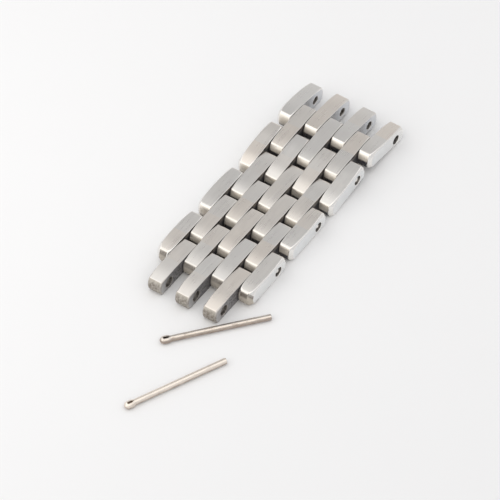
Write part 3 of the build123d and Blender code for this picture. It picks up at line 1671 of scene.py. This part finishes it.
@dataclass(frozen=True)
class LinkRows:
    """All rows of links.

    Args:
        strap: The strap's shared sizes.
        finishes: The strap's finishes.
        edge_bevel: The bevel round the outer face of an edge link.
        edge_shoulder: The shoulder radius of an edge link that lies level.
        edge_corner: The corner radius of an edge link's crown.
        edge_step: The most that a face of its crown turns.
        near_rounds: How round the near end of a row's edge links is: its edge radius and its bevel.
        worn_shoulders: The shoulder reach and radius of the rows that are worn most.
        three_places: The name of each column's place in a row of three.
        four_places: The same in a row of four.
        row_numbers: How many numbers each row's links have to themselves, which shift their grain.
    """

    strap: Strap
    finishes: FinishSet
    edge_bevel: float = 0.38
    edge_shoulder: float = 26.0
    edge_corner: float = 0.6
    edge_step: float = math.radians(0.4)
    near_rounds: Mapping[int, Pair] = field(
        default_factory=lambda: {2: (0.55, 0.62), 4: (0.3, 0.5), 6: (0.3, 0.5), 8: (0.3, 0.5)}
    )
    worn_shoulders: Mapping[int, Pair] = field(
        default_factory=lambda: {1: (2.2, 30.0), 2: (1.8, 28.0), 5: (1.6, 18.0)}
    )
    three_places: Mapping[int, str] = field(default_factory=lambda: {1: "left", 3: "middle", 5: "right"})
    four_places: Mapping[int, str] = field(
        default_factory=lambda: {0: "left_edge", 2: "left_inner", 4: "right_inner", 6: "right_edge"}
    )
    row_numbers: int = 10

    def outline(self, row: int, place: str) -> LinkOutline:
        """A link's outline. Some rows are worn round further back, and level edge links are flatter.

        Args:
            row: The link's row.
            place: Its place in the row.

        Returns:
            The outline.
        """
        spacing = self.strap.spacing(row)
        if "edge" in place:
            level = row not in self.strap.row_tilts
            return LinkOutline(
                spacing,
                shoulder_radius=self.edge_shoulder if level else LinkOutline.shoulder_radius,
                top_corner_radius=self.edge_corner,
                shoulder_step=self.edge_step,
            )
        if row in self.worn_shoulders:
            reach, radius = self.worn_shoulders[row]
            return LinkOutline(spacing, shoulder_reach=reach, shoulder_radius=radius)
        return LinkOutline(spacing)

    def link(self, row: int, place: str) -> Link:
        """The link at a place of a row.

        Args:
            row: The row.
            place: The place.

        Returns:
            The link.
        """
        opened = row in (1, self.strap.row_count)
        outline = self.outline(row, place)
        bores = Bores(self.strap)
        width = self.strap.link_width
        if row % 2:
            return Link(outline, width, bores.three_row(opened))
        if "edge" in place:
            side = Side.LEFT if place == "left_edge" else Side.RIGHT
            radius, bevel = self.near_rounds[row]
            bevels = {f"{side.name.lower()}_bevel": self.edge_bevel, "near_bevel": bevel}
            return Link(outline, width, bores.edge(side, opened), near_edge_radius=radius, **bevels)
        return Link(outline, width, bores.inner(opened))

    def make(self) -> None:
        """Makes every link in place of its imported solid."""
        for row in range(1, self.strap.row_count + 1):
            places = self.three_places if row % 2 else self.four_places
            for column, place in places.items():
                node = f"row{row}_{place}_link"
                zones = self.finishes.link_zones(row, self.strap.row_count, place)
                draft = self.link(row, place).draft(self.row_numbers * row + column)
                piece = draft.build(f"{node}_dressed", zones, self.strap.place(node, row, column))
                stand_for(piece, node)


@dataclass(frozen=True)
class WireStop:
    """A point on the line of a split pin's wire.

    Args:
        at: Its place across and along the pin.
        way: The direction away from the wire's flat.
        thick: How much thicker than usual the wire is there.
        inset: How far its surface is drawn in, as it is on a rounded tip.
        lean: How far its surface leans towards the tip, in radians.
        ahead: The way to the tip, as a sign along the line.
    """

    at: Pair
    way: Pair
    thick: float
    inset: float = 0.0
    lean: float = 0.0
    ahead: float = 1.0


@dataclass(frozen=True)
class SplitPin:
    """A split pin: half-round wire folded back on itself, with an eye at the fold.

    It lies along Y with its eye opening up and its head at the low end.

    Args:
        length: Its length from head to tips.
        wire_radius: The radius of the wire's round side.
        leg_gap: The gap between its legs.
        head_radius: Half the width of its head.
        head_length: How long its head is.
        taper_length: How much of that narrows to the legs.
        tip_radius: The rounding of its tips.
        round_steps: How many faces go round the wire.
        fold_steps: How many go round the fold.
        taper_steps: How many the narrowing has.
        tip_steps: How many the rounding of a tip has.
        grain_shift: How far the grain of one pin lies from that of the next.
    """

    length: float = 19.7
    wire_radius: float = 0.55
    leg_gap: float = 0.05
    head_radius: float = 0.775
    head_length: float = 1.9
    taper_length: float = 0.6
    tip_radius: float = 0.12
    round_steps: int = 20
    fold_steps: int = 18
    taper_steps: int = 8
    tip_steps: int = 4
    grain_shift: float = 60.0

    def section(self) -> list[Stop]:
        """The wire's half-round section.

        Returns:
            Its stops, as distances out from the flat and heights, turning to the right.
        """
        flat = self.leg_gap / 2
        top = math.sqrt(self.wire_radius**2 - flat**2)
        start = math.atan2(top, flat)
        inward = (-1.0, 0.0)
        raw: list[PathPoint] = [((0.0, -top), inward, Zone.SEAM), ((0.0, top), inward, Zone.EDGE)]
        for number in range(self.round_steps + 1):
            angle = start - 2 * start * number / self.round_steps
            n = math.cos(angle), math.sin(angle)
            raw.append(((self.wire_radius * n[0] - flat, self.wire_radius * n[1]), n, Zone.ROD))
        return with_runs(raw)

    def line(self) -> list[WireStop]:
        """The line of the wire's flat.

        Returns:
            Its stops from one tip round the fold to the other.
        """
        low = -self.length / 2
        gap = self.leg_gap / 2
        eye = self.head_radius - self.wire_radius
        thick = self.wire_radius / (self.wire_radius - gap)
        neck = low + self.head_length
        leg = [WireStop((gap, -low), (1.0, 0.0), 1.0), WireStop((gap, neck), (1.0, 0.0), 1.0)]
        for number in range(1, self.taper_steps + 1):
            share = number / self.taper_steps
            ease = share * share * (3 - 2 * share)
            slope = 6 * share * (1 - share) * (eye - gap) / self.taper_length
            length = math.hypot(1.0, slope)
            at = gap + (eye - gap) * ease, neck - self.taper_length * share
            leg.append(WireStop(at, (1 / length, slope / length), 1 + (thick - 1) * ease))
        fold = low + self.head_radius
        for number in range(self.fold_steps // 2 + 1):
            angle = math.pi / 2 * number / (self.fold_steps // 2)
            way = math.cos(angle), -math.sin(angle)
            leg.append(WireStop((eye * way[0], fold + eye * way[1]), way, thick))
        other = [
            replace(stop, at=(-stop.at[0], stop.at[1]), way=(-stop.way[0], stop.way[1]))
            for stop in reversed(leg[:-1])
        ]
        return leg + other

    def tip(self, end: WireStop, ahead: float) -> list[WireStop]:
        """Rounds a tip of the wire.

        Args:
            end: The end of the line there.
            ahead: The way to the tip, as a sign along the line.

        Returns:
            The stops that take the end's place, from the tip inwards.
        """
        stops = []
        for number in range(self.tip_steps + 1):
            angle = math.pi / 2 * number / self.tip_steps
            inset = self.tip_radius * (1 - math.sin(angle))
            at = end.at[0], end.at[1] - self.tip_radius * (1 - math.cos(angle))
            stops.append(replace(end, at=at, inset=inset, lean=math.pi / 2 - angle, ahead=ahead))
        return stops

    def corner(self, wire: WireStop, edge: Stop, run: float) -> Corner:
        """One corner of the wire's surface.

        Args:
            wire: The stop on the wire's line.
            edge: The stop on its section.
            run: How far along the grain it lies.

        Returns:
            The corner.
        """
        across, up = edge.normal
        out = max(edge.at[0] * wire.thick - wire.inset * across, 0.0)
        high = edge.at[1] - wire.inset * up
        place = Vector((wire.at[0] + wire.way[0] * out, wire.at[1] + wire.way[1] * out, high))
        flat = Vector((wire.way[0] * across, wire.way[1] * across, up))
        ahead = Vector((-wire.way[1], wire.way[0], 0.0)) * wire.ahead
        return Corner(place, flat * math.cos(wire.lean) + ahead * math.sin(wire.lean), (run, edge.run))

    def draft(self, number: int) -> Draft:
        """Builds the pin's mesh.

        Args:
            number: The pin's number, which shifts its grain.

        Returns:
            The whole mesh.
        """
        made = Draft()
        section = self.section()
        first, *middle, last = self.line()
        line = [*self.tip(first, 1.0), *middle, *reversed(self.tip(last, -1.0))]
        rows: list[list[Corner]] = []
        run = self.grain_shift * number
        for before, wire in zip([line[0], *line], line):
            run += math.dist(before.at, wire.at)
            rows.append([self.corner(wire, edge, run) for edge in [*section, section[0]]])
        zones = [edge.zone for edge in section]
        for row, following in zip(rows, rows[1:]):
            made.strip(row, following, zones)
        for row in (rows[0], rows[-1]):
            made.fill([[Corner(corner.place, ACROSS, corner.grain) for corner in row[:-1]]], Zone.ROD)
        return made


@dataclass(frozen=True)
class Pins:
    """The pins: split ones in the strap, loose ones beside it, and the fixed ones, which stay as packed.

    Args:
        strap: The strap's shared sizes.
        finishes: The strap's finishes.
        split_turns: How far each seated split pin is turned about its axis, in degrees, by row.
        loose_places: For each loose pin, how far its middle lies beyond the near end of the first row, how
            far right of that row's right face, and its heading in degrees.
        last_three_column: The last column that a row of three fills.
        loose_numbers: What is added to a loose pin's number before it shifts the grain.
    """

    strap: Strap
    finishes: FinishSet
    split_turns: Mapping[int, float] = field(default_factory=lambda: {2: 20.0, 4: 65.0, 6: -50.0})
    loose_places: tuple[Triple, ...] = ((0.9, 0.67, -40.3), (14.6, 1.92, -25.3))
    last_three_column: int = 5
    loose_numbers: int = 10

    def make(self) -> None:
        """Makes the split pins and dresses the fixed ones."""
        near = self.strap.near_axes()
        seated = self.finishes.pin_zones(self.finishes.seated_rod, self.finishes.dull_seam)
        dull = self.finishes.pin_zones(self.finishes.dull_rod, self.finishes.dull_seam)
        bright = self.finishes.pin_zones(self.finishes.rod, self.finishes.seam)
        for row, turn in self.split_turns.items():
            x, z = near[row + 1]
            place = Matrix.Translation((x, 0.0, z)) @ Matrix.Rotation(math.radians(turn), 4, "Y")
            self.split(f"row{row}_split_pin", row, place, seated)
        near_end = near[1][0] - LinkOutline.end_radius
        right_face = self.strap.column_y(self.last_three_column) - self.strap.link_width / 2
        for number, (loose_place, zones) in enumerate(zip(self.loose_places, (dull, bright)), 1):
            reach, offset, heading = loose_place
            shift = Matrix.Translation((near_end - reach, right_face - offset, SplitPin.wire_radius))
            place = shift @ Matrix.Rotation(math.radians(heading - 90), 4, "Z")
            self.split(f"loose_split_pin_{number}", self.loose_numbers + number, place, zones)
        for row in range(2, self.strap.row_count + 1, 2):
            self.dress_fixed(f"row{row}_fixed_pin")

    def split(
        self, node: str, number: int, place: Matrix, zones: Mapping[Zone, bpy.types.Material]
    ) -> None:
        """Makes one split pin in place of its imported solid."""
        piece = SplitPin().draft(number).build(f"{node}_dressed", zones, place)
        stand_for(piece, node)

    def dress_fixed(self, node: str) -> None:
        """Gives a packed pin its finish.

        Args:
            node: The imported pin.
        """
        packed = frame["nodes"][node]
        packed.data.materials.clear()
        packed.data.materials.append(self.finishes.get(self.finishes.fixed))
        LOG.info("%s: dressed as packed", node)


def stand_for(piece: bpy.types.Object, node: str) -> None:
    """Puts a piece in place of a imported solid.

    Args:
        piece: The piece.
        node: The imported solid.
    """
    low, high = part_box(node)
    corners = [vertex.co for vertex in piece.data.vertices]
    gaps = []
    for axis in range(3):
        values = [corner[axis] for corner in corners]
        gaps += [low[axis] - min(values), max(values) - high[axis]]
    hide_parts(node)
    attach(piece, frame["nodes"][node]["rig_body"])
    beyond, short = max(0.0, *gaps) / MM, max(0.0, *(-gap for gap in gaps)) / MM
    message = "%s: %d faces, %.3f mm beyond its solid's box, %.3f mm short of it"
    LOG.info(message, piece.name, len(piece.data.polygons), beyond, short)


# The studio


@dataclass(frozen=True)
class SoftPanel:
    """A soft light that hangs level and shines down.

    Args:
        name: Its name.
        centre: Its middle, in millimetres.
        size: Its two sides, along the strap and across it.
        radiance: How much brighter it is than the room behind it, where a white wall in plain light is one.
        colour: Its colour.
    """

    name: str
    centre: Triple
    size: Pair
    radiance: float
    colour: Triple = (1.0, 1.0, 1.0)

    def make(self) -> None:
        """Makes the light. The camera looks past it."""
        light = bpy.data.lights.new(self.name, "AREA")
        light.shape = "RECTANGLE"
        light.size, light.size_y = self.size[0] * MM, self.size[1] * MM
        light.energy = self.radiance * math.pi * light.size * light.size_y
        light.color = self.colour
        made = bpy.data.objects.new(self.name, light)
        made.location = Vector(self.centre) * MM
        made.visible_camera = False
        bpy.context.scene.collection.objects.link(made)
        LOG.info("%s: light of %.2f W", self.name, light.energy)


def direction(azimuth: float, elevation: float) -> Vector:
    """The direction at an azimuth from X towards Y and an elevation, in degrees."""
    a, e = math.radians(azimuth), math.radians(elevation)
    return Vector((math.cos(a) * math.cos(e), math.sin(a) * math.cos(e), math.sin(e)))


@dataclass(frozen=True)
class SkyPatch:
    """A part of the room that is brighter or darker than the rest.

    Args:
        azimuth: The way to its middle, in degrees from X towards Y.
        elevation: The height of its middle, in degrees.
        core: How far from its middle it keeps its full colour, in degrees.
        rim: How far from its middle it ends.
        colour: Its colour.
    """

    azimuth: float
    elevation: float
    core: float
    rim: float
    colour: Colour

    def over(self, tree: Tree, way: Wire, under: Wire) -> Wire:
        """Lays the patch over the sky.

        Args:
            tree: The sky's tree.
            way: The direction that is looked in.
            under: The sky's colour so far.

        Returns:
            The colour with the patch.
        """
        sockets = {0: way, 1: tuple(direction(self.azimuth, self.elevation))}
        nearness = tree.node("ShaderNodeVectorMath", {"operation": "DOT_PRODUCT"}, sockets, "Value")
        rim, core = math.cos(math.radians(self.rim)), math.cos(math.radians(self.core))
        return tree.blend(nearness.above(rim, core), under, self.colour)


@dataclass(frozen=True)
class Studio:
    """The floor, the light and the camera.

    Args:
        floor_side: The side of the square floor, in millimetres.
        floor_colour: Its colour.
        floor_roughness: Its roughness.
        sky_low: The colour of the room at the floor.
        sky_high: Its colour overhead.
        sky_strength: How bright it is.
        patches: The parts of it that are brighter or darker.
        panels: The soft lights.
        aim: The place that the camera looks at.
        azimuth: The way from there to the camera, in degrees from X towards Y.
        elevation: Its height, in degrees.
        roll: Its turn about its own line of sight.
        distance: How far away it stands.
        lens: Its focal length, in millimetres.
        film_width: The width of the picture inside it, in millimetres.
        clip_start: How near it sees, in metres.
    """

    floor_side: float = 4000.0
    floor_colour: Colour = (0.865, 0.87, 0.884, 1.0)
    floor_roughness: float = 0.7
    sky_low: Colour = (0.97, 0.97, 0.985, 1.0)
    sky_high: Colour = (0.85, 0.85, 0.85, 1.0)
    sky_strength: float = 0.82
    patches: tuple[SkyPatch, ...] = (
        SkyPatch(25.0, 35.0, 22.0, 45.0, (0.93, 0.93, 0.935, 1.0)),
        SkyPatch(40.0, 51.0, 8.0, 24.0, (0.71, 0.71, 0.715, 1.0)),
        SkyPatch(215.0, 62.0, 20.0, 36.0, (1.42, 1.37, 1.29, 1.0)),
        SkyPatch(157.0, 8.0, 22.0, 42.0, (1.32, 1.3, 1.26, 1.0)),
    )
    panels: tuple[SoftPanel, ...] = (
        SoftPanel("overhead_panel", (-130.0, 112.0, 140.0), (340.0, 176.0), 0.68, (1.0, 0.98, 0.95)),
        SoftPanel("right_panel", (130.0, -170.0, 300.0), (430.0, 430.0), 0.36),
    )
    aim: Triple = (-13.115, -2.282, 0.0)
    azimuth: float = 215.01
    elevation: float = 48.91
    roll: float = -0.76
    distance: float = 695.55
    lens: float = 288.0
    film_width: float = 36.0
    clip_start: float = 0.01

    def make(self) -> None:
        """Makes floor, sky, lights and camera."""
        self.make_floor()
        self.make_sky()
        for panel in self.panels:
            panel.make()
        self.make_camera()
        bpy.context.scene.view_settings.view_transform = "Standard"

    def make_floor(self) -> None:
        """Makes the board that the strap lies on."""
        half = self.floor_side / 2 * MM
        corners = [(-half, -half, 0.0), (half, -half, 0.0), (half, half, 0.0), (-half, half, 0.0)]
        mesh = bpy.data.meshes.new("floor")
        mesh.from_pydata(corners, [], [(0, 1, 2, 3)])
        mesh.materials.append(Board("board", self.floor_colour, self.floor_roughness).make())
        floor = bpy.data.objects.new("floor", mesh)
        bpy.context.scene.collection.objects.link(floor)
        LOG.info("floor: %.0f mm square", self.floor_side)

    def make_sky(self) -> None:
        """Makes the pale room round the strap, and its patches."""
        world = bpy.data.worlds.new("room")
        bpy.context.scene.world = world
        world.use_nodes = True
        tree = Tree(world.node_tree)
        way = tree.node("ShaderNodeTexCoord", None, None, "Generated")
        height = tree.node("ShaderNodeSeparateXYZ", None, {"Vector": way}, "Z")
        colour = tree.blend(height.above(0.0, 1.0), self.sky_low, self.sky_high)
        for patch in self.patches:
            colour = patch.over(tree, way, colour)
        shader = tree.node("ShaderNodeBackground", None, {"Color": colour, "Strength": self.sky_strength})
        tree.node("ShaderNodeOutputWorld", None, {"Surface": shader})
        LOG.info("room: %d patches", len(self.patches))

    def make_camera(self) -> None:
        """Makes the camera at the photograph's angle."""
        camera = bpy.data.cameras.new("camera")
        camera.lens = self.lens
        camera.sensor_width = self.film_width
        camera.clip_start = self.clip_start
        made = bpy.data.objects.new("camera", camera)
        bpy.context.scene.collection.objects.link(made)
        back = direction(self.azimuth, self.elevation)
        made.location = (Vector(self.aim) + back * self.distance) * MM
        made.rotation_mode = "QUATERNION"
        rolled = Matrix.Rotation(math.radians(self.roll), 4, "Z").to_quaternion()
        made.rotation_quaternion = back.to_track_quat("Z", "Y") @ rolled
        bpy.context.scene.camera = made
        LOG.info("camera: %.0f mm lens", self.lens)


def main() -> None:
    """Dresses the strap and its pins, and sets up the studio."""
    logging.basicConfig(level=logging.INFO, format="%(name)s: %(message)s")
    strap = Strap()
    finishes = FinishSet()
    LinkRows(strap, finishes).make()
    Pins(strap, finishes).make()
    Studio().make()


if __name__ == "__main__":
    main()
